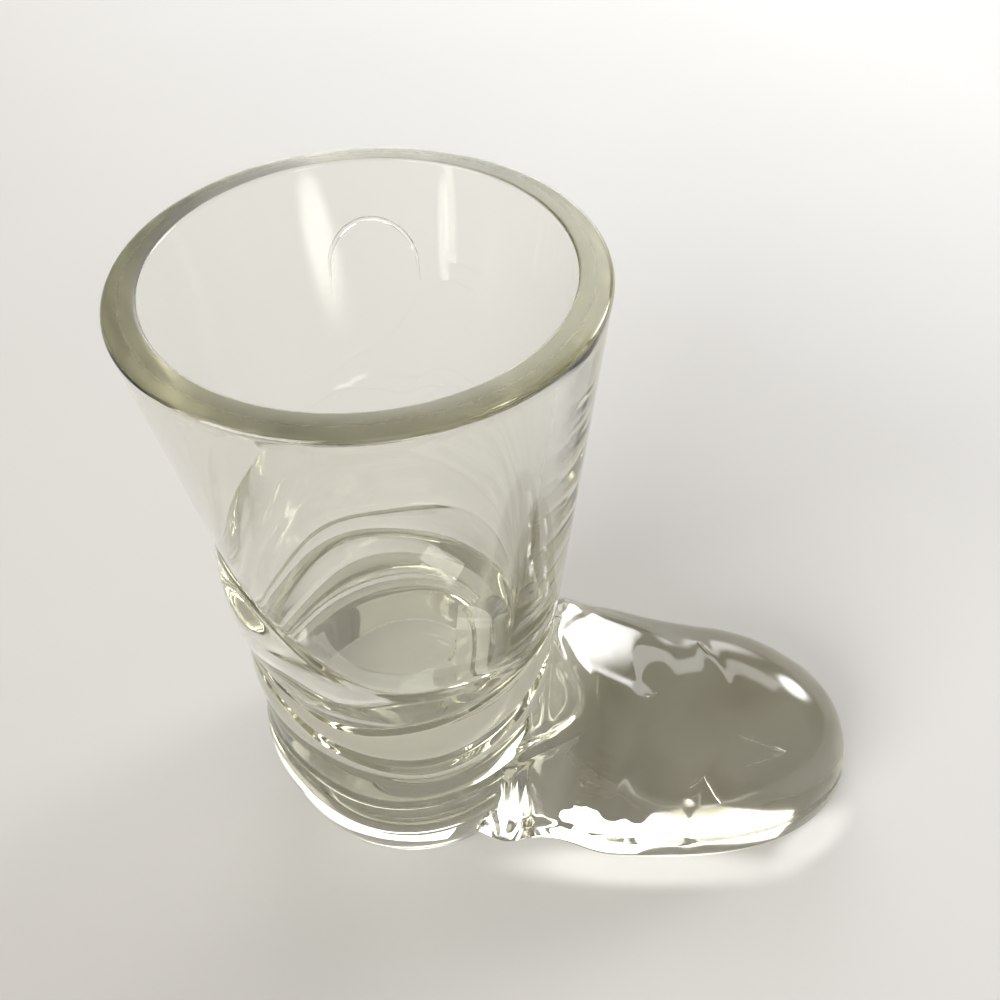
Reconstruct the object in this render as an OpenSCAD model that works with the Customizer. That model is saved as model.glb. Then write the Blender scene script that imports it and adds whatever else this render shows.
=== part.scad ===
// A shot glass pressed in the shape of a slouched boot. Millimetres.
// The origin is on the shaft's axis at the floor, +X runs to the toe and +Z up.
// The real thing is one piece of glass. Each node is one region of it, and the regions meet face to face.

/* [Whole glass] */
// height from the floor to the top of the lip
height = 82; // [76:1:96]
// outside diameter at the lip
rim_diameter = 46.5; // [43:0.5:52]
// distance from the shaft's axis to the toe tip
toe_reach = 62; // [56:0.5:72]
// greatest width of the foot
foot_width = 35.4; // [30:0.2:40]

/* [Rim and shaft] */
// glass thickness at the lip
rim_wall = 3; // [2:0.1:4]
// height of the rim region below the lip
rim_band = 5; // [4:0.5:7]
// outside diameter where the shaft meets the folds
neck_diameter = 40; // [38:0.2:43]

/* [Ankle folds] */
// outside diameter in the hollows between the folds
ankle_diameter = 38.4; // [36:0.2:40]
// how far a fold stands out from the hollows
fold_depth = 0.8; // [0.2:0.1:1.6]
// height of the upper fold
upper_fold = 15.5; // [10:0.5:18]
// height of the lower fold
lower_fold = 9.5; // [7:0.5:12]

/* [Cup] */
// glass thickness between the heel and the bottom of the cup
cup_floor_glass = 9.5; // [6:0.5:11]
// diameter of the cup just above its rounded bottom
cup_base_diameter = 27.2; // [24:0.2:30]
// height of the cup's rounded bottom
bowl_height = 7; // [5:0.5:10]

/* [Heel] */
// height of the heel block
heel_height = 13.5; // [10:0.5:16]
// greatest diameter of the heel block
heel_diameter = 41.2; // [39:0.2:44]
// diameter of the heel's flat underside
heel_foot_diameter = 36.2; // [32:0.2:38]
// height of the region between the heel block and the folds
counter_height = 14.5; // [13:0.5:18]
// distance from the shaft's axis to the front of the heel
heel_breast = 10; // [8:0.5:12]

/* [Foot] */
// distance from the shaft's axis to the ball of the foot
ball_distance = 41.5; // [34:0.5:48]
// height of the foot at its ball
ball_height = 18.5; // [14:0.5:22]
// thickness of the sole
sole_thickness = 4; // [3:0.25:6]
// how far the sole stands out past the upper
welt = 0.4; // [0.1:0.1:1]
// length of the gap under the arch
arch_length = 5; // [3:0.5:8]
// height of the gap under the arch
arch_rise = 1.8; // [0.8:0.2:2.4]
// how much narrower the foot is at the waist, each side
waist_dip = 2; // [0:0.25:3.5]
// length of the toe cap
toe_cap_length = 9.5; // [6:0.5:14]

/* [Pull strap] */
// width of the strap's outline
strap_width = 10.5; // [8:0.5:14]
// height of the strap's outline
strap_height = 7; // [6:0.5:10]
// width of the raised line
strap_line = 0.9; // [0.6:0.1:1.4]
// how far the line stands out of the glass
strap_relief = 0.5; // [0.3:0.1:0.8]
// gap between the rim region and the strap
strap_gap = 2.4; // [1:0.2:5]
// direction of the strap around the shaft, in degrees from the toe
strap_angle = 97.5; // [70:0.5:120]

/* [Hidden] */
// smoothness of the round parts
$fn = 96;
// steps along a curve that is worked out point by point
steps = 12;
// levels in one cross-section of the foot
levels = 12;
// how much closer together the toe's cross-sections get towards its tip
toe_crowding = 1.5;
// spare length for cutters
spare = 5;
// narrow flat left on the foot's ridge, and the size of its blunt tip
ridge_flat = 0.5;
tip_size = 1;
// how hollow the ridge is from the instep to the ball
instep_power = 1.6;
// how square the toe is seen from the side
dome_power = 2;
dome_root = 0.42;
// how round the foot's cross-section is
section_power = 1.9;
// how square the toe is in plan, and where its curve starts along the reach
toe_power = 2.6;
toe_curve_start = 0.46;
// where the heel is widest, as a share of its height
heel_bulge_share = 0.72;
// how square the cup's bottom is
bowl_power = 3;
// distance from the ankle's outside to the glass around the cup's bottom
plug_wall = 3.7;
// how far the shank lies inside the foot's outline
shank_inset = 1.2;

rim_r = rim_diameter / 2;
neck_r = neck_diameter / 2;
ankle_r = ankle_diameter / 2;
heel_r = heel_diameter / 2;
heel_foot_r = heel_foot_diameter / 2;
cup_base_r = cup_base_diameter / 2;
plug_r = ankle_r - plug_wall;
half_foot = foot_width / 2;
z_counter = heel_height;
z_instep = heel_height + counter_height;
z_fold = z_instep + lower_fold;
z_neck = z_fold + upper_fold;
z_rim = height - rim_band;
z_lip = height - rim_wall / 2;
z_cup = heel_height + cup_floor_glass;
z_bowl = z_cup + bowl_height;
upper_reach = toe_reach - welt;
half_upper_max = half_foot - welt;
// the counter meets the side of the foot flush at the heel's front
counter_r = sqrt(pow(half_upper_max, 2) + pow(heel_breast, 2));
x_sole = heel_breast + arch_length;
x_instep = ankle_r;
x_toe = toe_reach - toe_cap_length;
far = max(toe_reach, rim_r, heel_r) + spare;

// radius of a straight run from one height to another
function slope_r(z, z0, r0, z1, r1) = r0 + (r1 - r0) * (z - z0) / (z1 - z0);

// outside radius of the shaft at a height
function cone_r(z) = slope_r(z, z_neck, neck_r, z_lip, rim_r);

// radius of the cup's straight wall at a height
function cup_r(z) = slope_r(z, z_bowl, cup_base_r, z_lip, rim_r - rim_wall);

// share of a fold's depth, with s running from 0 to 1 up the fold
function bulge(s) = pow(sin(180 * s), 2);

// outside radius of the heel block at a height
function heel_out(z) = let (top = heel_height * heel_bulge_share)
    z < top
        ? heel_foot_r + (heel_r - heel_foot_r) * sqrt(1 - pow(1 - z / top, 2))
        : heel_r - (heel_r - counter_r) * pow((z - top) / (heel_height - top), 2);

// outside radius of everything below the shaft, as if the foot were not there
function ankle_out(z) =
    z <= z_counter ? heel_out(z)
    : z <= z_instep ? slope_r(z, z_counter, counter_r, z_instep, ankle_r)
    : z <= z_fold ? ankle_r + fold_depth * bulge((z - z_instep) / lower_fold)
    : slope_r(z, z_fold, ankle_r, z_neck, neck_r) + fold_depth * bulge((z - z_fold) / upper_fold);

// half width of the round ankle at a distance in front of the axis, carried straight down past the heel
function chord(x, z) = let (r = ankle_out(max(z, z_counter))) x < r ? sqrt(r * r - x * x) : 0;

// height of the foot's ridge
function ridge(x) = x <= x_instep ? z_instep
    : x <= ball_distance
        ? ball_height + (z_instep - ball_height)
            * pow((ball_distance - x) / (ball_distance - x_instep), instep_power)
        : let (s = (x - ball_distance) / (upper_reach - ball_distance))
            sole_thickness + max(tip_size, (ball_height - sole_thickness)
                * pow(max(0, 1 - pow(s, dome_power)), dome_root));

// half width of the foot at the sole
function half_sole(x, reach) = let (start = reach * toe_curve_start)
    x > start
        ? half_foot * sqrt(max(0, 1 - pow((x - start) / (reach - start), toe_power)))
        : half_foot - waist_dip * pow(sin(180 * (x - heel_breast) / (start - heel_breast)), 2);

// half width of the foot at a height
function half_upper(x, z) = max(
    ridge_flat / 2,
    chord(x, z),
    max(tip_size, half_sole(x, upper_reach) - welt) * sqrt(max(0, 1 - pow(z / ridge(x), section_power))));

// height of one level of a cross-section, closer together near the ridge
function level(x, k) = sole_thickness + (ridge(x) - sole_thickness) * sin(90 * k / levels);

// one cross-section of the foot, up one side and down the other
function section(x) = concat(
    [for (k = [0 : levels]) [x, -half_upper(x, level(x, k)), level(x, k)]],
    [for (k = [levels : -1 : 0]) [x, half_upper(x, level(x, k)), level(x, k)]]);

// triangles over m sections of n points, and across each end from one side to the other
function skin(m, n) = concat(
    [for (k = [0 : levels - 1]) each [[k, k + 1, n - 2 - k], [k, n - 2 - k, n - 1 - k]]],
    [for (i = [0 : m - 2]) for (j = [0 : n - 1]) each [
        [i * n + j, (i + 1) * n + j, (i + 1) * n + (j + 1) % n],
        [i * n + j, (i + 1) * n + (j + 1) % n, i * n + (j + 1) % n]]],
    [for (k = [0 : levels - 1]) let (e = (m - 1) * n) each [
        [e + k, e + n - 2 - k, e + k + 1],
        [e + k, e + n - 1 - k, e + n - 2 - k]]]);

// outline of the sole from one distance to another
function outline(x0, x1, reach, inset) = concat(
    [for (i = [0 : 2 * steps]) let (x = x0 + (x1 - x0) * sin(45 * i / steps))
        [x, inset - half_sole(x, reach)]],
    [for (i = [2 * steps : -1 : 0]) let (x = x0 + (x1 - x0) * sin(45 * i / steps))
        if (half_sole(x, reach) > inset) [x, half_sole(x, reach) - inset]]);

// points of a round outside wall, from one height to another
function wall(z0, z1) = [for (i = [0 : steps]) let (z = z0 + (z1 - z0) * i / steps) [ankle_out(z), z]];

// a solid foot with a cross-section at each of some distances
module foot(stations) {
    sections = [for (x = stations) section(x)];
    polyhedron(
        points = [for (s = sections) each s],
        faces = skin(len(sections), len(sections[0])),
        convexity = 4);
}

// a solid turned body between two heights
module turned(z0, z1) {
    rotate_extrude()
        polygon(concat([[0, z0]], wall(z0, z1), [[0, z1]]));
}

// the space inside the cup
module cup() {
    rotate_extrude()
        polygon(concat(
            [for (i = [0 : steps]) let (a = 90 * i / steps)
                [cup_base_r * pow(sin(a), 2 / bowl_power),
                    z_bowl - bowl_height * pow(cos(a), 2 / bowl_power)]],
            [[cup_r(height + spare), height + spare], [0, height + spare]]));
}

// everything behind the front of the heel
module behind_breast() {
    translate([heel_breast - 2 * far, -far, -spare])
        cube([2 * far, 2 * far, height + 2 * spare]);
}

// the strap's outline, seen from outside the shaft
module strap_outline() {
    radius = strap_width / 2;
    difference() {
        union() {
            circle(r = radius);
            translate([-radius, radius - strap_height])
                square([strap_width, strap_height - radius]);
        }
        union() {
            circle(r = radius - strap_line);
            translate([strap_line - radius, radius - strap_height - spare])
                square([strap_width - 2 * strap_line, strap_height - radius + spare]);
        }
    }
}

module rim() {
    half = rim_wall / 2;
    color([0.80, 0.84, 0.74])
        rotate_extrude()
            polygon(concat(
                [[cone_r(z_rim), z_rim]],
                [for (i = [0 : steps]) let (a = 180 * i / steps)
                    [rim_r - half + half * cos(a), z_lip + half * sin(a)]],
                [[cup_r(z_rim), z_rim]]));
}

module shaft() {
    color([0.84, 0.88, 0.80])
        rotate_extrude()
            polygon([
                [cup_r(z_neck), z_neck],
                [cone_r(z_neck), z_neck],
                [cone_r(z_rim), z_rim],
                [cup_r(z_rim), z_rim]]);
}

module pull_strap() {
    z_middle = z_rim - strap_gap - strap_width / 2;
    color([0.74, 0.78, 0.68])
        intersection() {
            rotate_extrude()
                polygon([
                    [cone_r(z_neck), z_neck],
                    [cone_r(z_neck) + strap_relief, z_neck],
                    [cone_r(z_rim) + strap_relief, z_rim],
                    [cone_r(z_rim), z_rim]]);
            rotate([0, 0, strap_angle])
                translate([0, 0, z_middle])
                    rotate([90, 0, 90])
                        linear_extrude(far)
                            strap_outline();
        }
}

module upper_fold_band() {
    color([0.82, 0.86, 0.78])
        rotate_extrude()
            polygon(concat(
                [[cup_r(z_fold), z_fold]],
                wall(z_fold, z_neck),
                [[cup_r(z_neck), z_neck]]));
}

module lower_fold_band() {
    color([0.80, 0.84, 0.76])
        difference() {
            turned(z_instep, z_fold);
            cup();
        }
}

module cup_base() {
    color([0.86, 0.89, 0.82])
        difference() {
            translate([0, 0, z_counter])
                cylinder(r = plug_r, h = counter_height);
            cup();
        }
}

module heel_counter() {
    color([0.79, 0.83, 0.75])
        intersection() {
            difference() {
                turned(z_counter, z_instep);
                translate([0, 0, z_counter - spare])
                    cylinder(r = plug_r, h = counter_height + 2 * spare);
            }
            behind_breast();
        }
}

module heel() {
    color([0.77, 0.81, 0.73])
        intersection() {
            turned(0, heel_height);
            behind_breast();
        }
}

module shank() {
    color([0.76, 0.80, 0.71])
        translate([0, 0, arch_rise])
            linear_extrude(sole_thickness - arch_rise)
                polygon(outline(heel_breast, x_sole, toe_reach, shank_inset));
}

module vamp() {
    color([0.78, 0.82, 0.73])
        difference() {
            foot(concat(
                [for (i = [0 : steps]) heel_breast + (x_instep - heel_breast) * sin(90 * i / steps)],
                [for (i = [1 : steps]) x_instep + (x_toe - x_instep) * i / steps]));
            translate([0, 0, z_counter])
                cylinder(r = plug_r, h = counter_height + spare);
        }
}

module toe_cap() {
    color([0.76, 0.80, 0.70])
        foot([for (i = [0 : steps]) upper_reach - (upper_reach - x_toe) * pow(1 - i / steps, toe_crowding)]);
}

module sole() {
    color([0.74, 0.78, 0.68])
        linear_extrude(sole_thickness)
            polygon(outline(x_sole, toe_reach, toe_reach, 0));
}

rim();
shaft();
pull_strap();
upper_fold_band();
lower_fold_band();
cup_base();
heel_counter();
heel();
shank();
vamp();
toe_cap();
sole();
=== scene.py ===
import math

import bpy
import numpy as np
from bpy.props import FloatProperty, FloatVectorProperty, IntProperty, PointerProperty
from bpy.types import Operator, Panel, PropertyGroup
from mathutils import Matrix, Vector


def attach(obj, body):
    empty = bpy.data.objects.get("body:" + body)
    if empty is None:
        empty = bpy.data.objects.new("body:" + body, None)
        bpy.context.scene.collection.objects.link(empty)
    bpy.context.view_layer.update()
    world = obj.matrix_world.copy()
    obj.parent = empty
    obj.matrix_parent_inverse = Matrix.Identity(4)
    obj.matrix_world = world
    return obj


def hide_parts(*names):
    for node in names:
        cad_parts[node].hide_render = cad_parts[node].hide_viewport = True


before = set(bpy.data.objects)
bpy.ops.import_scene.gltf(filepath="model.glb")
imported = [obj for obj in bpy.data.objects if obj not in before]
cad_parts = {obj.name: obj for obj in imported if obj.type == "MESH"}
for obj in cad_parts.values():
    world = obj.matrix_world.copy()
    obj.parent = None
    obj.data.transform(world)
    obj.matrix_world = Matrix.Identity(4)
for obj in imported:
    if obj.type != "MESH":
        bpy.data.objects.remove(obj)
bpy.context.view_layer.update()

bl_info = {
    "name": "Boot Shot Glass",
    "version": (1, 0, 0),
    "blender": (4, 5, 0),
    "location": "View3D > Sidebar > Boot Glass",
    "description": "Presses a clear boot-shaped shot glass over its frame and sets it on a pale table",
    "category": "Object",
}

MM = 0.001

# Creases round the leg: (degrees from the toe, the photographed side being negative; height in mm).
NECK_CREASE = (
    (-180, 53), (-150, 53), (-120, 48.5), (-92, 42), (-60, 40), (-25, 37), (0, 36.5), (60, 40), (90, 42.5),
    (115, 46.5), (145, 52))
UPPER_CREASE = (
    (-180, 33.5), (-133, 35), (-105, 33), (-75, 34), (-45, 35), (0, 34), (60, 34.5), (105, 32.5),
    (140, 34.5))
MIDDLE_CREASE = (
    (-180, 31), (-140, 32), (-108, 28), (-77, 26), (-42, 27.5), (0, 31), (60, 27), (90, 27.5), (145, 31.5))
LOWER_CREASE = (
    (-180, 21.5), (-118, 24), (-77, 21.5), (-40, 22), (0, 23), (77, 21.5), (125, 23.5))
HEEL_SEAM = (
    (-180, 16), (-130, 16.5), (-98, 14.5), (-53, 14.5), (0, 13.5), (60, 14.5), (115, 15), (150, 16.5))

# Creases pressed into the foot and short raised strokes on it, in mm.
NEAR_HEM = (
    (11, -15, 16.5), (16, -12.5, 18), (22.5, -9.5, 21), (23.5, -6.5, 23), (21.5, -3.5, 26), (20, 0, 27.5))
INSTEP_HEM = NEAR_HEM + tuple((x, -y, z) for x, y, z in NEAR_HEM[-2::-1])
VAMP_CREASE = ((24, -15.5, 4), (27, -15, 10.5), (29, -12, 17), (33, -4, 21.5), (36, 5, 20))
BALL_CREASE = ((38, -13.5, 11.5), (41, -9, 16), (42.5, -1.5, 18.5), (40, 6.5, 18))
TOE_CREASE = ((52, -7.5, 12), (53, -1, 13.5), (49.5, 9, 11))
FOOT_STROKES = (
    ((43.5, -7, 16), (49.5, -7, 12.5), (44.5, -10, 13.5)),
    ((37.8, -13.2, 12.6), (39.5, -12, 14), (42, -13.5, 10)),
    ((39.5, 6.5, 18), (41, 3.5, 18.5)),
    ((32, -4.5, 22), (34, -4, 21.5)))

# Bands of the leg's outside that carry the pressed creases, from the heel up, with their rows.
FOLD_ROWS = (("bead", 8), ("counter", 10), ("low_fold", 12), ("mid_fold", 14), ("high_fold", 18))
LIP_ROWS = 15


def smooth_table(table, degrees):
    """Values of a closed table of (degrees, value) pairs at some angles, joined by a smooth curve."""
    knots = np.array([a for a, _ in table], float)
    values = np.array([v for _, v in table], float)
    knots = np.concatenate([knots[-3:] - 360, knots, knots[:3] + 360])
    values = np.concatenate([values[-3:], values, values[:3]])
    slopes = np.gradient(values, knots)
    i = np.clip(np.searchsorted(knots, degrees, side="right") - 1, 0, len(knots) - 2)
    step = knots[i + 1] - knots[i]
    t = (degrees - knots[i]) / step
    return ((2 * t ** 3 - 3 * t ** 2 + 1) * values[i] + (t ** 3 - 2 * t ** 2 + t) * step * slopes[i]
            + (3 * t ** 2 - 2 * t ** 3) * values[i + 1] + (t ** 3 - t ** 2) * step * slopes[i + 1])


def ease(t):
    """A smooth step from 0 to 1."""
    t = np.clip(t, 0, 1)
    return t * t * (3 - 2 * t)


def bump(distance, width):
    """A smooth hump, 1 high, that has mostly faded at its width."""
    return np.exp(-(distance / width) ** 2)


def crowd(count):
    """Shares from 0 to 1 that lie closer together at both ends."""
    t = np.linspace(0, 1, count + 1)
    return 0.25 * t + 0.75 * ease(t)


def near_line(points, line):
    """Distance of each point to a polyline, both in mm."""
    best = np.full(len(points), np.inf)
    for a, b in zip(line[:-1], line[1:]):
        a, b = np.array(a, float), np.array(b, float)
        along = np.clip((points - a) @ (b - a) / ((b - a) @ (b - a)), 0, 1)
        best = np.minimum(best, np.linalg.norm(points - a - along[:, None] * (b - a), axis=1))
    return best


def smooth_line(points, steps=8):
    """A smooth line through a few points."""
    p = np.array(points, float)
    p = np.concatenate([[2 * p[0] - p[1]], p, [2 * p[-1] - p[-2]]])
    line = []
    for a, b, c, d in zip(p[:-3], p[1:-2], p[2:-1], p[3:]):
        for t in np.linspace(0, 1, steps, endpoint=False):
            line.append(b + 0.5 * t * (c - a + t * (2 * a - 5 * b + 4 * c - d + t * (3 * (b - c) + d - a))))
    return line + [p[-2]]


class BootGlassSizes(PropertyGroup):
    """Sizes of the pressed boot."""
    height: FloatProperty(
        name="Height", description="Floor to the top of the lip",
        default=0.082, min=0.07, max=0.1, unit="LENGTH")
    rim_radius: FloatProperty(
        name="Rim Radius", description="Outside radius at the lip",
        default=0.02325, min=0.02, max=0.027, unit="LENGTH")
    rim_wall: FloatProperty(
        name="Rim Wall", description="Glass thickness at the lip",
        default=0.0033, min=0.002, max=0.004, unit="LENGTH")
    neck_radius: FloatProperty(
        name="Neck Radius", description="Outside radius in the crease under the shaft",
        default=0.01945, min=0.018, max=0.021, unit="LENGTH")
    crease_radius: FloatProperty(
        name="Crease Radius", description="Outside radius in the creases of the ankle",
        default=0.0193, min=0.018, max=0.021, unit="LENGTH")
    fold_fullness: FloatProperty(
        name="Fold Fullness", description="How far a fold stands out, as a share of its height",
        default=0.056, min=0.0, max=0.12, subtype="FACTOR")
    crease_depth: FloatProperty(
        name="Crease Depth", description="Depth of the line pressed along each crease",
        default=0.0002, min=0.0, max=0.0006, unit="LENGTH")
    heel_radius: FloatProperty(
        name="Heel Radius", description="Greatest radius of the heel",
        default=0.02045, min=0.019, max=0.022, unit="LENGTH")
    heel_foot_radius: FloatProperty(
        name="Heel Foot Radius", description="Radius of the heel's flat underside",
        default=0.0181, min=0.016, max=0.019, unit="LENGTH")
    cup_base_radius: FloatProperty(
        name="Cup Base Radius", description="Radius of the cup above its rounded bottom",
        default=0.0157, min=0.012, max=0.0165, unit="LENGTH")
    cup_floor: FloatProperty(
        name="Cup Floor", description="Height of the cup's bottom above the table",
        default=0.023, min=0.018, max=0.026, unit="LENGTH")
    bowl_height: FloatProperty(
        name="Bowl Height", description="Height of the cup's rounded bottom",
        default=0.014, min=0.005, max=0.02, unit="LENGTH")
    toe_reach: FloatProperty(
        name="Toe Reach", description="Shaft's axis to the toe tip",
        default=0.062, min=0.056, max=0.072, unit="LENGTH")
    foot_width: FloatProperty(
        name="Foot Width", description="Greatest width of the foot",
        default=0.0354, min=0.03, max=0.04, unit="LENGTH")
    ball_height: FloatProperty(
        name="Ball Height", description="Height of the foot at its ball",
        default=0.0185, min=0.014, max=0.022, unit="LENGTH")
    sole_thickness: FloatProperty(
        name="Sole Thickness", description="Thickness of the sole",
        default=0.004, min=0.003, max=0.006, unit="LENGTH")
    strap_thickness: FloatProperty(
        name="Strap Thickness", description="Thickness of the pull strap's raised line",
        default=0.00055, min=0.0003, max=0.001, unit="LENGTH")
    stroke_thickness: FloatProperty(
        name="Stroke Thickness", description="Thickness of the short raised strokes on the foot",
        default=0.0006, min=0.0002, max=0.0007, unit="LENGTH")
    columns: IntProperty(
        name="Columns", description="Steps round the leg",
        default=270, min=96, max=400)


class BootGlassFinish(PropertyGroup):
    """Looks of the glass."""
    clear_colour: FloatVectorProperty(
        name="Clear Colour", description="Colour of light that passes one wall of the leg",
        default=(0.955, 0.955, 0.925), size=3, min=0.0, max=1.0, subtype="COLOR")
    # Painted shade: a browner, darker colour on the foot's upper part stands in for the shade seen through
    # the solid foot.
    foot_shade_colour: FloatVectorProperty(
        name="Foot Colour", description="Colour of light that passes through the browner foot",
        default=(0.58, 0.54, 0.43), size=3, min=0.0, max=1.0, subtype="COLOR")
    tint: FloatVectorProperty(
        name="Tint", description="Colour that thick glass takes on",
        default=(0.70, 0.685, 0.50), size=3, min=0.0, max=1.0, subtype="COLOR")
    density: FloatProperty(
        name="Density", description="How fast the tint builds up, per metre",
        default=15.0, min=0.0, max=80.0)
    ior: FloatProperty(
        name="IOR", description="Refraction of soda-lime glass",
        default=1.51, min=1.4, max=1.7)
    worn_lip: FloatProperty(
        name="Worn Lip", description="Roughness of the lip's top, dulled by use",
        default=0.28, min=0.0, max=1.0, subtype="FACTOR")
    worn_from: FloatProperty(
        name="Worn From", description="Height at which the lip's wear begins",
        default=0.08165, min=0.07, max=0.1, unit="LENGTH")
    worn_toe: FloatProperty(
        name="Worn Toe", description="Roughness of the foot's top, dulled by use",
        default=0.11, min=0.0, max=1.0, subtype="FACTOR")
    dull_arch: FloatProperty(
        name="Dull Arch", description="Roughness of the pleats at the arch, left dull by the mould",
        default=0.12, min=0.0, max=1.0, subtype="FACTOR")
    ripple: FloatProperty(
        name="Ripple", description="Strength of the wavy skin left by the mould",
        default=0.02, min=0.0, max=0.5, subtype="FACTOR")


class BootGlassStage(PropertyGroup):
    """Table, light and camera."""
    # Painted shade: the table's colour runs from this darker near colour to the paler far one, standing in
    # for light that falls off towards the front.
    shaded_near_table: FloatVectorProperty(
        name="Near Table", description="Colour of the table in front",
        default=(0.665, 0.648, 0.622), size=3, min=0.0, max=1.0, subtype="COLOR")
    lit_far_table: FloatVectorProperty(
        name="Far Table", description="Colour of the table behind",
        default=(0.92, 0.92, 0.925), size=3, min=0.0, max=1.0, subtype="COLOR")
    wall_colour: FloatVectorProperty(
        name="Walls", description="Colour of the room round the table",
        default=(0.20, 0.20, 0.195), size=3, min=0.0, max=1.0, subtype="COLOR")
    ceiling_colour: FloatVectorProperty(
        name="Ceiling", description="Colour of the dim room above",
        default=(0.32, 0.305, 0.275), size=3, min=0.0, max=1.0, subtype="COLOR")
    back_window: FloatProperty(
        name="Back Window", description="Power of the wide window behind the glass, in watts",
        default=4.6, min=0.0, max=80.0)
    side_window: FloatProperty(
        name="Side Window", description="Power of the wide window in front on the left, in watts",
        default=22.5, min=0.0, max=80.0)
    right_window: FloatProperty(
        name="Right Window", description="Brightness of the small low window on the right",
        default=21.0, min=0.0, max=80.0)
    far_window: FloatProperty(
        name="Far Window", description="Brightness of the long low window behind",
        default=6.0, min=0.0, max=80.0)
    front_window: FloatProperty(
        name="Front Window", description="Brightness of the dim window in front",
        default=0.4, min=0.0, max=80.0)
    # Painted light: brightness of the two glowing patches painted on the table to stand for sunlit patches
    # outside the picture.
    painted_light_patch: FloatProperty(
        name="Lit Patch", description="Brightness of the two sunlit patches on the table outside the picture",
        default=4.0, min=0.0, max=20.0)
    # Painted light: brightness of the glow painted on the table under and in front of the glass, standing in
    # for its caustics.
    painted_caustic_light: FloatProperty(
        name="Gathered Light", description="Brightness of the light that the glass gathers on the table",
        default=0.33, min=0.0, max=2.0)
    focal_length: FloatProperty(
        name="Focal Length", description="Camera lens in mm on a 36 mm sensor",
        default=36.306, min=20.0, max=120.0)


def start_sheet(name, columns, rows):
    """A flat sheet of quads to wrap into a skin, with the column and row of each corner."""
    bpy.ops.object.select_all(action="DESELECT")
    bpy.ops.mesh.primitive_grid_add(x_subdivisions=columns, y_subdivisions=rows, size=1.0)
    sheet = bpy.context.object
    sheet.name = name
    sheet.data.name = name
    flat = np.empty(len(sheet.data.vertices) * 3)
    sheet.data.vertices.foreach_get("co", flat)
    flat = flat.reshape(-1, 3)
    column = np.rint((flat[:, 0] + 0.5) * columns).astype(int)
    row = np.rint((flat[:, 1] + 0.5) * rows).astype(int)
    return sheet, column, row


def close_seams(drop_slivers):
    """Merges the doubled corners of the active mesh and turns its faces outwards."""
    same_place, sliver = 1e-6, 1e-7
    bpy.ops.object.mode_set(mode="EDIT")
    bpy.ops.mesh.select_all(action="SELECT")
    bpy.ops.mesh.remove_doubles(threshold=same_place)
    if drop_slivers:
        bpy.ops.mesh.dissolve_degenerate(threshold=sliver)
    bpy.ops.mesh.normals_make_consistent(inside=False)
    bpy.ops.object.mode_set(mode="OBJECT")


def wrap_sheet(sheet, points):
    """Moves a sheet's corners to points in mm and closes its seam and poles."""
    sheet.data.vertices.foreach_set("co", (points * MM).ravel())
    sheet.data.update()
    close_seams(drop_slivers=True)


def join_on(body, tool):
    """Joins another solid to the body and deletes it."""
    corners = len(body.data.vertices)
    change = body.modifiers.new("shape", "BOOLEAN")
    change.operation = "UNION"
    change.solver = "EXACT"
    change.object = tool
    bpy.ops.object.select_all(action="DESELECT")
    bpy.context.view_layer.objects.active = body
    body.select_set(True)
    bpy.ops.object.modifier_apply(modifier=change.name)
    if len(body.data.vertices) < corners / 2:
        raise RuntimeError(tool.name + " could not be joined")
    bpy.data.objects.remove(tool, do_unlink=True)


def leg_profile():
    """Rows of the leg's skin from under the heel up the outside, over the lip and down the cup.

    Each row is (band, share), and leg_points turns it into a place at an angle."""
    rows = [("under", s) for s in (0.0, 0.3, 0.6, 0.85, 0.95)]
    rows += [("heel", s) for s in 1 - np.cos(np.linspace(0, math.pi / 2, 25))[:-1]]
    for band, count in FOLD_ROWS:
        rows += [(band, s) for s in crowd(count)[:-1]]
    rows += [("shaft", s) for s in np.concatenate([crowd(14)[:7] * 0.5, np.linspace(0.25, 1, 32)])]
    rows += [("lip", step) for step in range(1, LIP_ROWS + 1)]
    rows += [("cup", s) for s in np.linspace(0, 1, 30)[1:]]
    rows += [("bowl", s) for s in np.linspace(0, 1, 28)[1:]]
    return rows


def fold(share, top, bottom, top_r, bottom_r, fullness, lean):
    """Radius on a fold between two creases, with share running up from the bottom one."""
    swell = np.sin(np.pi * share ** lean)
    return bottom_r + (top_r - bottom_r) * share + fullness * (top - bottom) * swell


def lip_line(rim_r, inner_r, top_z):
    """Radius and height along the lip, from the shaft over its flat fire-polished top to the cup's edge."""
    turn_out, turn_in, slope = 0.7, 0.35, 0.12
    line = [(rim_r - turn_out * (1 - math.cos(a)), top_z - slope - turn_out * (1 - math.sin(a)))
            for a in np.linspace(0, math.radians(86), 9)]
    line += [(inner_r + turn_in * (1 - math.cos(a)), top_z - turn_in * (1 - math.sin(a)))
             for a in np.linspace(math.radians(88), 0, 7)]
    return line


def worn_front(degrees):
    """Share of a fold's fullness left at an angle: the folds fade where the leg runs into the foot."""
    start, end, blend, loss = -25, 95, 35, 0.8
    return 1 - loss * ease((degrees - start) / blend) * ease((end - degrees) / blend)


def far_side(degrees):
    """1 on the side away from the camera, where the fold under the shaft is gentler, and 0 elsewhere."""
    start, width, blend_in, blend_out = 60, 128, 25, 16
    past = (degrees - start) % 360
    return ease(past / blend_in) * ease((width - past) / blend_out)


def heel_radius(z, seam, foot_r, widest_r, draw_in):
    """Radius of the heel, which swells from its flat underside and draws in again towards its seam."""
    widest_share, swell_power, draw_power = 0.74, 1.4, 2
    widest = widest_share * seam
    rising = foot_r + (widest_r - foot_r) * (1 - (1 - np.minimum(z / widest, 1)) ** swell_power)
    falling = draw_in * (np.maximum(z - widest, 0) / (seam - widest)) ** draw_power
    return rising - falling


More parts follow.
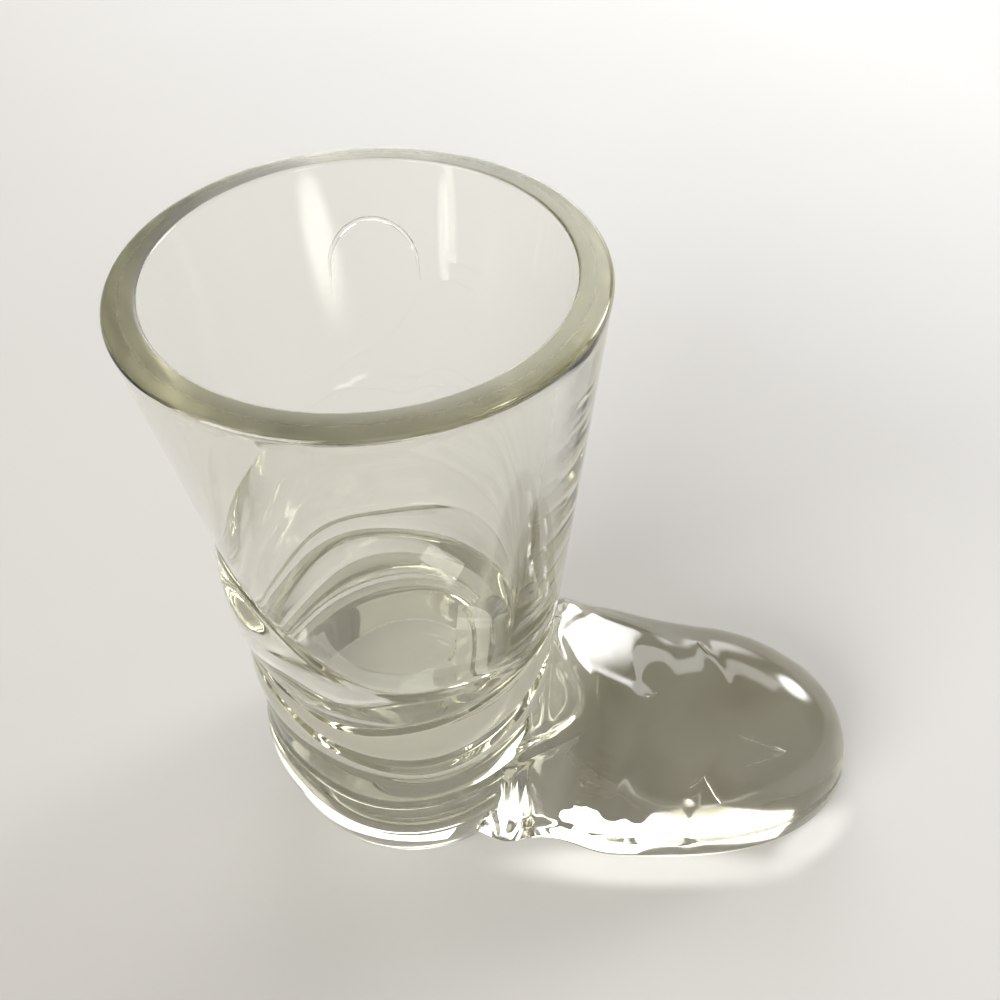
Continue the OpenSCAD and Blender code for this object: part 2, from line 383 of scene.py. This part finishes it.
def leg_points(sizes, rows, column, row, columns):
    """Places of the leg's corners, in mm."""
    bead_height, seam_step, bead_step, front_neck = 1.9, 0.25, 0.15, 0.3
    bead_full, bead_lean, counter_full, counter_lean = 0.16, 1.0, 0.6, 0.9
    low_lean, mid_lean, upright_lean = 1.25, 0.9, 0.95
    fullness_lost, lean_lost, groove_lost = 0.3, 0.3, 0.9
    bowl_power, groove_width = 0.85, 0.45
    breast_x, breast_blend, breast_rise, breast_top = 9.4, 2.0, 3.2, 8
    degrees = -180 + 360 * column / columns
    turn = np.radians(degrees)
    neck, upper, middle, lower, seam = (
        smooth_table(crease, degrees)
        for crease in (NECK_CREASE, UPPER_CREASE, MIDDLE_CREASE, LOWER_CREASE, HEEL_SEAM))
    bead_top = seam + bead_height
    rim_r, wall = sizes.rim_radius / MM, sizes.rim_wall / MM
    height = sizes.height / MM
    neck_r = sizes.neck_radius / MM + front_neck * ((1 + np.cos(turn)) / 2)
    crease_r = sizes.crease_radius / MM
    heel_r, heel_foot_r = sizes.heel_radius / MM, sizes.heel_foot_radius / MM
    cup_r, bowl_height = sizes.cup_base_radius / MM, sizes.bowl_height / MM
    bowl_top = sizes.cup_floor / MM + bowl_height
    full = sizes.fold_fullness * worn_front(degrees)
    dent = sizes.crease_depth / MM * worn_front(degrees)
    gentle = far_side(degrees)
    high_full, high_lean = full * (1 - fullness_lost * gentle), upright_lean - lean_lost * gentle
    inner_r = rim_r - wall
    lip = lip_line(rim_r, inner_r, height)
    shaft_top, inner_top = lip[0][1], lip[-1][1]
    radius, level = np.zeros(len(row)), np.zeros(len(row))
    for index, (band, s) in enumerate(rows):
        here = row == index
        n, u, m, l, b, t = (v[here] for v in (neck, upper, middle, lower, seam, bead_top))
        if band == "under":
            r, z = heel_foot_r * s, 0.0
        elif band == "heel":
            z = b * s
            r = heel_radius(z, b, heel_foot_r, heel_r, heel_r - crease_r - seam_step)
        elif band == "bead":
            z = b + (t - b) * s
            r = fold(s, t, b, crease_r + bead_step, crease_r + seam_step, bead_full, bead_lean)
        elif band == "counter":
            z = t + (l - t) * s
            r = fold(s, l, t, crease_r, crease_r + bead_step, counter_full * full[here], counter_lean)
        elif band == "low_fold":
            z = l + (m - l) * s
            r = fold(s, m, l, crease_r, crease_r, full[here], low_lean)
        elif band == "mid_fold":
            z = m + (u - m) * s
            r = fold(s, u, m, crease_r, crease_r, full[here], mid_lean)
        elif band == "high_fold":
            z = u + (n - u) * s
            r = fold(s, n, u, neck_r[here], crease_r, high_full[here], high_lean[here])
        elif band == "shaft":
            z = n + (shaft_top - n) * s
            r = neck_r[here] + (rim_r - neck_r[here]) * s
        elif band == "lip":
            r, z = lip[s]
        elif band == "cup":
            z = inner_top + (bowl_top - inner_top) * s
            r = inner_r + (cup_r - inner_r) * s
        else:
            a = math.pi / 2 * (1 - s)
            r = cup_r * math.sin(a) ** bowl_power if s < 1 else 0.0
            z = bowl_top - bowl_height * math.cos(a) ** bowl_power
        radius[here], level[here] = r, z
    creased = [band for band, _ in FOLD_ROWS] + ["shaft"]
    pressed = np.array([band in creased for band, _ in rows])[row]
    groove = (1 - groove_lost * gentle) * bump(level - neck, groove_width)
    for crease in (upper, middle, lower, seam, bead_top):
        groove += bump(level - crease, groove_width)
    radius -= np.where(pressed, dent * np.minimum(groove, 1), 0)
    x = radius * np.cos(turn)
    heel = np.array([band in ("under", "heel") for band, _ in rows])[row]
    lift = breast_rise * ease((x - breast_x) / breast_blend) * np.maximum(0, 1 - level / breast_top)
    level += np.where(heel, lift, 0)
    return np.stack([x, radius * np.sin(turn), level], axis=1)


def half_sole(x, reach, half):
    """Half width of the foot at the sole."""
    start, toe_power = 0.46 * reach, 2.6
    waist_in, waist_x = 2.0, 10
    tuck_in, tuck_x, tuck_blend = 1.9, 9, 5
    toe = half * np.sqrt(np.maximum(0, 1 - np.clip((x - start) / (reach - start), 0, 1) ** toe_power))
    waist = half - waist_in * np.sin(np.pi * np.clip((x - waist_x) / (start - waist_x), 0, 1)) ** 2
    tuck = tuck_in * (1 - ease((x - tuck_x) / tuck_blend))
    return np.where(x > start, toe, waist) - tuck


def ridge(x, reach, sole, ball):
    """Height of the foot's ridge, from the instep over the ball to the toe tip."""
    instep_x, instep_z, instep_power = 19.2, 28, 1.6
    ball_x, tip_gap, dome_power = 41.5, 0.4, 0.42
    tip_z = 0.4 * sole
    falling = ball + (instep_z - ball) * np.clip((ball_x - x) / (ball_x - instep_x), 0, 1) ** instep_power
    along = np.clip((x - ball_x) / (reach - tip_gap - ball_x), 0, 1)
    dome = tip_z + (ball - tip_z) * np.maximum(0, 1 - along ** 2) ** dome_power
    return np.where(x <= ball_x, falling, dome)


def foot_points(sizes, column, row, columns, rows):
    """Places of the foot's corners, in mm: sections across the foot from inside the leg to the toe tip."""
    reach, half = sizes.toe_reach / MM, sizes.foot_width / MM / 2
    sole, ball = sizes.sole_thickness / MM, sizes.ball_height / MM
    start, pole_z = 7.0, 8
    flat, turn_up, welt_up = 0.1, 0.2, 0.32
    edge_round, welt_step, welt_blend = 1.3, 0.35, 0.06
    shoulder, below_shoulder, roundness = 0.55, 0.45, 1.95
    arch_rise, arch_x, arch_blend, arch_top = 1.8, 12.2, 3.2, 4
    x = start + (reach - start) * np.sin(np.pi / 2 * np.clip((row - 1) / (rows - 1), 0, 1))
    wide = np.maximum(half_sole(x, reach, half), 0)
    top = ridge(x, reach, sole, ball)
    side = np.where(column <= columns / 2, -1.0, 1.0)
    t = np.where(column <= columns / 2, 2 * column / columns, 2 - 2 * column / columns)
    round_r = np.minimum(edge_round, 0.4 * wide)
    mid = np.minimum(sole, 0.5 * top)
    edge = np.minimum(round_r, mid)
    a = np.pi / 2 * np.clip((t - flat) / (turn_up - flat), 0, 1)
    y = np.where(t <= flat, (wide - round_r) * t / flat, wide - round_r + round_r * np.sin(a))
    z = np.where(t <= flat, 0, edge * (1 - np.cos(a)))
    up = np.clip((t - turn_up) / (welt_up - turn_up), 0, 1)
    z = np.where(t > turn_up, edge + (mid - edge) * up, z)
    over = np.clip((t - welt_up) / (1 - welt_up), 0, 1)
    high = mid + (top - mid) * np.sin(np.pi / 2 * over)
    dome = np.maximum(top - mid * shoulder, 1e-6)
    welt = np.minimum(welt_step, 0.09 * wide) * ease(over / welt_blend)
    upper = (wide - welt) * np.sqrt(
        np.maximum(0, 1 - ((high - mid * shoulder) / dome) ** roundness * (over > 0)))
    lower_share = np.sqrt(np.maximum(0, 1 - (below_shoulder * mid / dome) ** roundness))
    y = np.where(t > turn_up, wide * (1 + (lower_share - 1) * up ** 2), y)
    y = np.where(t > welt_up, upper, y)
    z = np.where(t > welt_up, high, z)
    arch = arch_rise * (1 - ease((x - arch_x) / arch_blend))
    z = z + arch * np.maximum(0, 1 - z / arch_top)
    y = np.where((row == 0) | (row == rows), 0, y)
    z = np.where(row == 0, pole_z, np.where(row == rows, 0.5 * top, z))
    return np.stack([x, side * y, z], axis=1)


def foot_relief(points):
    """How far the foot's skin stands out at each point, in mm, by its hem, creases, pleats and swells."""
    hem_height, hem_width = 0.28, 0.7
    dip_depth, dip_place, dip_width = 0.22, 1.2, 0.6
    swell_height, swell_x, swell_length = 0.12, 30, 10.5
    knob_height, knob_x, knob_z, knob_slope, knob_long, knob_high = 0.22, 24.3, 13.6, 0.8, 2.6, 2.2
    pleat_height, pleat_x, pleat_width, pleat_top = 0.09, 15.5, 3.0, 11
    wave_height, wave_top = 0.02, 14
    x, y, z = points.T
    near_side = y < 0
    hem = near_line(points, smooth_line(INSTEP_HEM))
    relief = hem_height * bump(hem, hem_width) - dip_depth * bump(hem - dip_place, dip_width)
    for line, depth, width in ((VAMP_CREASE, 0.32, 1.6), (BALL_CREASE, 0.32, 1.0), (TOE_CREASE, 0.3, 0.9)):
        relief -= depth * bump(near_line(points, smooth_line(line)), width)
    swell = np.sin((x - swell_x) / swell_length * np.pi) * ease((x - 26) / 6) * ease((60 - x) / 6)
    relief += swell_height * swell * ease((z - 8) / 6)
    up_knobs = z - knob_z - knob_slope * (x - knob_x)
    knobs = np.exp(-((x - knob_x) / knob_long) ** 2 - (up_knobs / knob_high) ** 2) * near_side
    relief += knob_height * knobs * np.sin(3.4 * (x + 0.5 * z)) * np.sin(2.9 * (z - 0.45 * x) + 1)
    pleats = bump(x - pleat_x, pleat_width) * ease((pleat_top - z) / 4) * near_side
    relief += pleat_height * pleats * np.sin(3.6 * x + 0.25 * z)
    wave = np.sin(1.3 * x + 0.7 * z) * np.sin(1.1 * z - 0.8 * y + 1)
    return relief + wave_height * wave * ease((wave_top - z) / 4)


def press_foot(points, column, row, columns, rows):
    """Presses the relief into the foot's skin and flattens its instep."""
    relief_from, relief_blend = 3.2, 2
    middle_x, middle_y, middle_z = 24.5, 1.5, 24.2
    slope, hollow, camber = 0.62, 0.009, 0.008
    grid = np.zeros((rows + 1, columns + 1, 3))
    grid[row, column] = points
    normal = np.cross(np.gradient(grid, axis=1), np.gradient(grid, axis=0))
    normal = normal / np.maximum(np.linalg.norm(normal, axis=2, keepdims=True), 1e-9)
    x, y, z = points.T
    above_sole = ease((z - relief_from) / relief_blend) * (row > 0) * (row < rows)
    points = points + normal[row, column] * (foot_relief(points) * above_sole)[:, None]
    ahead, aside = x - middle_x, y - middle_y
    instep_z = middle_z - slope * ahead + hollow * ahead ** 2 - camber * aside ** 2
    flat = ease((x - 19.5) / 1.5) * ease((36 - x) / 6) * ease((8 - np.abs(aside)) / 4) * (z > 12)
    points[:, 2] += flat * (instep_z - points[:, 2])
    return points


def make_leg(sizes):
    """The leg with its heel, folds, lip and cup."""
    rows = leg_profile()
    leg, column, row = start_sheet("boot_glass", sizes.columns, len(rows) - 1)
    wrap_sheet(leg, leg_points(sizes, rows, column, row, sizes.columns))
    return leg


def make_foot(sizes):
    """The solid foot, from inside the leg to the toe."""
    columns, rows = 190, 190
    foot, column, row = start_sheet("boot_foot", columns, rows)
    points = foot_points(sizes, column, row, columns, rows)
    wrap_sheet(foot, press_foot(points, column, row, columns, rows))
    return foot


def make_beads(name, lines, thickness, taper):
    """Thin round beads along lines of points in mm, tapered over a share of their length at both ends."""
    end_size = 0.2
    bpy.ops.object.select_all(action="DESELECT")
    bpy.ops.curve.primitive_bezier_curve_add()
    curve = bpy.context.object.data
    curve.splines.clear()
    for line in lines:
        spline = curve.splines.new("POLY")
        spline.points.add(len(line) - 1)
        for share, point, place in zip(np.linspace(0, 1, len(line)), spline.points, line):
            point.co = (*(np.array(place) * MM), 1)
            point.radius = float(end_size + (1 - end_size) * ease(min(share, 1 - share) / taper))
    curve.dimensions = "3D"
    curve.bevel_depth = thickness / 2
    curve.bevel_resolution = 3
    curve.use_fill_caps = True
    bpy.ops.object.convert(target="MESH")
    beads = bpy.context.object
    beads.name = name
    close_seams(drop_slivers=False)
    return beads


def strap_line(sizes):
    """Places along the arch of the pull strap on the shaft's far side, in mm."""
    middle, half_width, drop, top = math.radians(98.5), 5.4, 3.4, 74.1
    spread, lip_height = 0.05, 0.8
    side_up = [(-half_width * (1 + spread * (1 - t)), top - half_width - drop * (1 - t))
               for t in np.linspace(0, 1, 10)[:-1]]
    arch = [(-half_width * math.cos(a), top - half_width + half_width * math.sin(a))
            for a in np.linspace(0, math.pi, 33)]
    side_down = [(-x, z) for x, z in reversed(side_up)]
    rim_r, height = sizes.rim_radius / MM, sizes.height / MM
    neck_r, neck_z = sizes.neck_radius / MM + 0.15, 43.5
    line = []
    for side, z in side_up + arch + side_down:
        r = neck_r + (rim_r - neck_r) * (z - neck_z) / (height - lip_height - neck_z)
        a = middle - side / r
        line.append((r * math.cos(a), r * math.sin(a), z))
    return line


def stroke_lines(boot):
    """Places along the short strokes, laid on the foot's skin, in mm."""
    bpy.context.view_layer.update()
    lines = []
    for stroke in FOOT_STROKES:
        line = []
        for a, b in zip(stroke[:-1], stroke[1:]):
            for t in np.linspace(0, 1, 7)[0 if not line else 1:]:
                place = (np.array(a) * (1 - t) + np.array(b) * t) * MM
                found, spot, _, _ = boot.closest_point_on_mesh(Vector(place))
                if not found:
                    raise RuntimeError("a stroke found no skin to lie on")
                line.append(tuple(np.array(spot) / MM))
        lines.append(line)
    return lines


def ramp(tree, source, start, end, low=0.0, high=1.0, smooth=False):
    """A shader value that runs from low to high while its source runs from start to end."""
    node = tree.nodes.new("ShaderNodeMapRange")
    node.interpolation_type = "SMOOTHSTEP" if smooth else "LINEAR"
    for name, value in (("From Min", start), ("From Max", end), ("To Min", low), ("To Max", high)):
        node.inputs[name].default_value = value
    tree.links.new(source, node.inputs["Value"])
    return node.outputs["Result"]


def combine(tree, operation, first, second):
    """A shader value worked out from two others."""
    node = tree.nodes.new("ShaderNodeMath")
    node.operation = operation
    tree.links.new(first, node.inputs[0])
    tree.links.new(second, node.inputs[1])
    return node.outputs["Value"]


def measure(tree, operation, source, vector=(0.0, 0.0, 0.0)):
    """What a vector operation gives for a shader vector and a fixed one: a vector, or a value."""
    node = tree.nodes.new("ShaderNodeVectorMath")
    node.operation = operation
    tree.links.new(source, node.inputs[0])
    if operation != "LENGTH":
        node.inputs[1].default_value = vector
    gives_value = operation in ("DISTANCE", "DOT_PRODUCT", "LENGTH")
    return node.outputs["Value" if gives_value else "Vector"]


def noise(tree, place, scale, detail, roughness=0.5):
    """Cloudy values from 0 to 1."""
    node = tree.nodes.new("ShaderNodeTexNoise")
    for name, value in (("Scale", scale), ("Detail", detail), ("Roughness", roughness)):
        node.inputs[name].default_value = value
    tree.links.new(place, node.inputs["Vector"])
    return node.outputs["Fac"]


def wavy_skin(tree, height, strength, distance, under=None):
    """Surface directions of a wavy skin, on top of those of another one."""
    node = tree.nodes.new("ShaderNodeBump")
    node.inputs["Strength"].default_value = strength
    node.inputs["Distance"].default_value = distance
    tree.links.new(height, node.inputs["Height"])
    if under:
        tree.links.new(under, node.inputs["Normal"])
    return node.outputs["Normal"]


def blend_colours(tree, first, second, factor):
    """A colour between two, by a shader value."""
    node = tree.nodes.new("ShaderNodeMix")
    node.data_type = "RGBA"
    node.inputs["A"].default_value = (*first, 1.0)
    node.inputs["B"].default_value = (*second, 1.0)
    tree.links.new(factor, node.inputs["Factor"])
    return node.outputs["Result"]


def split_axes(tree, place):
    """X, Y and Z of a shader vector."""
    node = tree.nodes.new("ShaderNodeSeparateXYZ")
    tree.links.new(place, node.inputs["Vector"])
    return node.outputs["X"], node.outputs["Y"], node.outputs["Z"]


def glass_material(finish):
    """Clear pressed glass, faintly yellow-green where it is thick, with the mould's wavy skin, and painted
    shade that browns and darkens the foot's upper part.
    """
    foot_x, upper_z = (0.021, 0.026), (0.007, 0.012)
    toe_x, toe_z = (0.029, 0.036), (0.010, 0.013)
    arch_middle, arch_fade = (0.0145, -0.0155, 0.007), (0.007, 0.005)
    lip_fade, most_polish_wear = 0.0003, 0.02
    cloud_range, least_foot_shade = (0.42, 0.58), 0.45
    glass = bpy.data.materials.new("clear_pressed_glass")
    glass.use_nodes = True
    tree = glass.node_tree
    shader = tree.nodes["Principled BSDF"]
    shader.inputs["Transmission Weight"].default_value = 1.0
    shader.inputs["IOR"].default_value = finish.ior
    place = tree.nodes.new("ShaderNodeTexCoord").outputs["Object"]
    x, _, z = split_axes(tree, place)
    wave = noise(tree, place, scale=75.0, detail=2.0, roughness=0.45)
    grain = noise(tree, place, scale=900.0, detail=1.0)
    fine = wavy_skin(tree, grain, strength=finish.ripple * 0.5, distance=0.00005)
    broad = wavy_skin(tree, wave, strength=finish.ripple, distance=0.0004, under=fine)
    tree.links.new(broad, shader.inputs["Normal"])

    # Painted shade: the foot's upper part is browned and darkened, more in some clouds than others, in place
    # of the shade seen through it; its lower edge stays clear.
    on_upper = combine(tree, "MULTIPLY", ramp(tree, x, *foot_x), ramp(tree, z, *upper_z))
    painted_foot_shade = combine(tree, "MULTIPLY", on_upper, ramp(tree, wave, *cloud_range, low=least_foot_shade))
    colour = blend_colours(tree, finish.clear_colour, finish.foot_shade_colour, painted_foot_shade)
    tree.links.new(colour, shader.inputs["Base Color"])

    polish = ramp(tree, wave, 0.0, 1.0, high=most_polish_wear)
    worn_lip = ramp(tree, z, finish.worn_from, finish.worn_from + lip_fade, high=finish.worn_lip)
    worn_toe = combine(
        tree, "MULTIPLY", ramp(tree, x, *toe_x, high=finish.worn_toe), ramp(tree, z, *toe_z))
    dull_arch = ramp(
        tree, measure(tree, "DISTANCE", place, arch_middle), *arch_fade, high=finish.dull_arch)
    rough = polish
    for wear in (worn_lip, worn_toe, dull_arch):
        rough = combine(tree, "ADD", rough, wear)
    tree.links.new(rough, shader.inputs["Roughness"])

    absorb = tree.nodes.new("ShaderNodeVolumeAbsorption")
    absorb.inputs["Color"].default_value = (*finish.tint, 1.0)
    absorb.inputs["Density"].default_value = finish.density
    tree.links.new(absorb.outputs["Volume"], tree.nodes["Material Output"].inputs["Volume"])
    return glass


class BOOTGLASS_OT_press_boot(Operator):
    """Press the whole boot as one piece of glass"""
    bl_idname = "bootglass.press_boot"
    bl_label = "Press Boot"

    def execute(self, context):
        strap_taper, stroke_taper, sharpest_edge = 0.3, 0.12, math.radians(32)
        sizes = context.scene.boot_glass_sizes
        boot = make_leg(sizes)
        join_on(boot, make_foot(sizes))
        strap = make_beads("pull_strap_line", [strap_line(sizes)], sizes.strap_thickness, strap_taper)
        join_on(boot, strap)
        strokes = make_beads("foot_stroke_lines", stroke_lines(boot), sizes.stroke_thickness, stroke_taper)
        join_on(boot, strokes)
        bpy.ops.object.select_all(action="DESELECT")
        boot.select_set(True)
        context.view_layer.objects.active = boot
        bpy.ops.object.shade_smooth_by_angle(angle=sharpest_edge)
        boot.data.materials.clear()
        boot.data.materials.append(glass_material(context.scene.boot_glass_finish))
        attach(boot, "root")
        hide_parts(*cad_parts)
        return {"FINISHED"}


def painted_light_patch(table, place, middle, azimuth, half_size, brightness):
    """Adds a painted patch of light to the table: a glowing bright patch with blurred edges, in metres and
    degrees.
    """
    blur_from, blur_to = 1.2, 0.4
    tree = table.node_tree
    turned = tree.nodes.new("ShaderNodeVectorRotate")
    turned.rotation_type = "Z_AXIS"
    turned.inputs["Center"].default_value = (*middle, 0.0)
    turned.inputs["Angle"].default_value = -math.radians(azimuth)
    tree.links.new(place, turned.inputs["Vector"])
    moved = measure(tree, "SUBTRACT", turned.outputs["Vector"], (*middle, 0.0))
    away = measure(tree, "LENGTH", measure(tree, "DIVIDE", moved, (*half_size, 1.0)))
    patch = ramp(tree, away, blur_from, blur_to, high=brightness, smooth=True)
    painted_glow = tree.nodes["Principled BSDF"].inputs["Emission Strength"]
    if painted_glow.is_linked:
        patch = combine(tree, "ADD", patch, painted_glow.links[0].from_socket)
    tree.links.new(patch, painted_glow)


def table_material(stage):
    """A matt white table with a faint cloudy unevenness, painted shade that darkens it towards the front, and
    soft painted patches of light that glow on it.
    """
    near, far = -0.09, 0.37
    table = bpy.data.materials.new("white_table")
    table.use_nodes = True
    tree = table.node_tree
    shader = tree.nodes["Principled BSDF"]
    shader.inputs["Roughness"].default_value = 0.85
    shader.inputs["Specular IOR Level"].default_value = 0.2
    # Colour of the painted light that glows from the table's patches.
    shader.inputs["Emission Color"].default_value = (1.0, 0.99, 0.93, 1.0)
    place = tree.nodes.new("ShaderNodeTexCoord").outputs["Object"]
    x, y, _ = split_axes(tree, place)
    # Painted shade: the table's colour darkens towards the front, where less light falls.
    depth = ramp(tree, combine(tree, "ADD", x, y), near, far)
    shade = blend_colours(tree, stage.shaded_near_table, stage.lit_far_table, depth)
    paper = tree.nodes.new("ShaderNodeMix")
    paper.data_type = "RGBA"
    paper.blend_type = "MULTIPLY"
    paper.inputs["Factor"].default_value = 1.0
    tree.links.new(shade, paper.inputs["A"])
    cloud = noise(tree, place, scale=14.0, detail=3.0)
    tree.links.new(ramp(tree, cloud, 0.0, 1.0, low=0.95), paper.inputs["B"])
    tree.links.new(paper.outputs["Result"], shader.inputs["Base Color"])
    painted_sunlight, painted_caustic = stage.painted_light_patch, stage.painted_caustic_light
    # Painted light: glowing patches on the table. Two are sunlit patches outside the picture; three are
    # painted caustics under and before the glass.
    for middle, azimuth, half_size, brightness in (
            ((0.115, -0.155), -55, (0.075, 0.034), painted_sunlight),
            ((-0.125, -0.146), -130, (0.065, 0.014), painted_sunlight),
            ((0.033, -0.0186), 2, (0.020, 0.0032), painted_caustic),
            ((0.0562, -0.0132), 40, (0.008, 0.0028), 0.7 * painted_caustic),
            ((0.002, 0.0105), 0, (0.021, 0.011), 0.85 * painted_caustic)):
        painted_light_patch(table, place, middle, azimuth, half_size, brightness)
    table.cycles.emission_sampling = "NONE"
    return table


def direction(azimuth, elevation):
    """A unit step towards a place in the room, with its angles in degrees."""
    a, e = math.radians(azimuth), math.radians(elevation)
    return Vector((math.cos(e) * math.cos(a), math.cos(e) * math.sin(a), math.sin(e)))


def soft_window(name, azimuth, elevation, distance, size, power):
    """A soft rectangular light round the glass, in degrees and metres, turned to the glass's middle."""
    middle = Vector((0.02, 0.0, 0.03))
    data = bpy.data.lights.new(name, "AREA")
    data.shape = "RECTANGLE"
    data.size, data.size_y = size
    data.energy = power
    data.color = (1.0, 0.995, 0.985)
    light = bpy.data.objects.new(name, data)
    bpy.context.scene.collection.objects.link(light)
    light.location = middle + distance * direction(azimuth, elevation)
    light.rotation_euler = (middle - light.location).to_track_quat("-Z", "Y").to_euler()


def curtained_window(room, place, azimuth, elevation, half_size, brightness):
    """Adds a window with blurred edges to the room's distance, with its place and half size in degrees."""
    blur_from, blur_to = 1.3, 0.6
    tree = room.node_tree
    half_wide, half_high = (math.sin(math.radians(v)) for v in half_size)
    to_middle = direction(azimuth, elevation)
    to_side = direction(azimuth + 90, 0) / half_wide
    to_top = direction(azimuth, elevation + 90) / half_high
    across = tree.nodes.new("ShaderNodeCombineXYZ")
    tree.links.new(measure(tree, "DOT_PRODUCT", place, to_side), across.inputs["X"])
    tree.links.new(measure(tree, "DOT_PRODUCT", place, to_top), across.inputs["Y"])
    away = measure(tree, "LENGTH", across.outputs["Vector"])
    soft = ramp(tree, away, blur_from, blur_to, high=brightness, smooth=True)
    facing = tree.nodes.new("ShaderNodeMath")
    facing.operation = "GREATER_THAN"
    facing.inputs[1].default_value = 0.0
    tree.links.new(measure(tree, "DOT_PRODUCT", place, to_middle), facing.inputs[0])
    light = tree.nodes.new("ShaderNodeBackground")
    tree.links.new(combine(tree, "MULTIPLY", soft, facing.outputs["Value"]), light.inputs["Strength"])
    both = tree.nodes.new("ShaderNodeAddShader")
    ending = tree.nodes["World Output"].inputs["Surface"]
    tree.links.new(ending.links[0].from_socket, both.inputs[0])
    tree.links.new(light.outputs["Background"], both.inputs[1])
    tree.links.new(both.outputs["Shader"], ending)


def room_world(stage):
    """A plain room, paler at the height of the table than above it, with three curtained windows."""
    wall_top, ceiling_from = 0.15, 0.75
    room = bpy.data.worlds.new("plain_room")
    room.use_nodes = True
    tree = room.node_tree
    place = tree.nodes.new("ShaderNodeTexCoord").outputs["Generated"]
    _, _, height = split_axes(tree, place)
    rise = ramp(tree, height, wall_top, ceiling_from)
    shade = blend_colours(tree, stage.wall_colour, stage.ceiling_colour, rise)
    tree.links.new(shade, tree.nodes["Background"].inputs["Color"])
    for azimuth, elevation, half_size, brightness in (
            (37, 15, (9.5, 8.5), stage.right_window),
            (92, 9, (28, 10), stage.far_window),
            (-80, 40, (40, 24), stage.front_window)):
        curtained_window(room, place, azimuth, elevation, half_size, brightness)
    return room


def photo_camera(stage):
    """The camera at the photograph's place, turned and tilted as it was."""
    place = (0.017948, -0.078021, 0.133986)
    yaw, pitch, roll = math.radians(3.975), math.radians(46.466), math.radians(0.711)
    lens = bpy.data.cameras.new("photo_camera")
    lens.lens = stage.focal_length
    lens.sensor_width = 36.0
    lens.clip_start = 0.005
    lens.clip_end = 20.0
    camera = bpy.data.objects.new("photo_camera", lens)
    bpy.context.scene.collection.objects.link(camera)
    camera.matrix_world = (
        Matrix.Translation(place) @ Matrix.Rotation(yaw, 4, "Z")
        @ Matrix.Rotation(math.pi / 2 - pitch, 4, "X") @ Matrix.Rotation(-roll, 4, "Z"))
    return camera


class BOOTGLASS_OT_set_stage(Operator):
    """Set the table, the light and the camera"""
    bl_idname = "bootglass.set_stage"
    bl_label = "Set Stage"

    def execute(self, context):
        scene = context.scene
        stage = scene.boot_glass_stage
        table_size, table_gap = 4.0, 0.0001
        bpy.ops.object.select_all(action="DESELECT")
        bpy.ops.mesh.primitive_plane_add(size=table_size, location=(0, 0, -table_gap))
        bpy.ops.object.transform_apply(location=True, rotation=True, scale=True)
        table = context.object
        table.name = "white_table"
        table.data.materials.append(table_material(stage))
        soft_window(
            "back_window", azimuth=73, elevation=36, distance=1.0, size=(1.3, 0.29),
            power=stage.back_window)
        soft_window(
            "side_window", azimuth=-130, elevation=31, distance=1.7, size=(1.3, 0.85),
            power=stage.side_window)
        scene.world = room_world(stage)
        scene.camera = photo_camera(stage)
        scene.view_settings.view_transform = "Standard"
        scene.cycles.max_bounces = 24
        scene.cycles.transmission_bounces = 24
        scene.cycles.glossy_bounces = 16
        return {"FINISHED"}


class BOOTGLASS_PT_sidebar(Panel):
    """The boot glass and its stage"""
    bl_label = "Boot Glass"
    bl_idname = "BOOTGLASS_PT_sidebar"
    bl_space_type = "VIEW_3D"
    bl_region_type = "UI"
    bl_category = "Boot Glass"

    def draw(self, context):
        layout = self.layout
        for group in ("boot_glass_sizes", "boot_glass_finish", "boot_glass_stage"):
            settings = getattr(context.scene, group)
            column = layout.column(align=True)
            for name in settings.__annotations__:
                column.prop(settings, name)
        layout.operator(BOOTGLASS_OT_press_boot.bl_idname)
        layout.operator(BOOTGLASS_OT_set_stage.bl_idname)


CLASSES = (
    BootGlassSizes, BootGlassFinish, BootGlassStage,
    BOOTGLASS_OT_press_boot, BOOTGLASS_OT_set_stage, BOOTGLASS_PT_sidebar)


def register():
    for cls in CLASSES:
        bpy.utils.register_class(cls)
    bpy.types.Scene.boot_glass_sizes = PointerProperty(type=BootGlassSizes)
    bpy.types.Scene.boot_glass_finish = PointerProperty(type=BootGlassFinish)
    bpy.types.Scene.boot_glass_stage = PointerProperty(type=BootGlassStage)


def unregister():
    del bpy.types.Scene.boot_glass_stage
    del bpy.types.Scene.boot_glass_finish
    del bpy.types.Scene.boot_glass_sizes
    for cls in reversed(CLASSES):
        bpy.utils.unregister_class(cls)


def main():
    register()
    bpy.ops.bootglass.set_stage()
    bpy.ops.bootglass.press_boot()


if __name__ == "__main__":
    main()
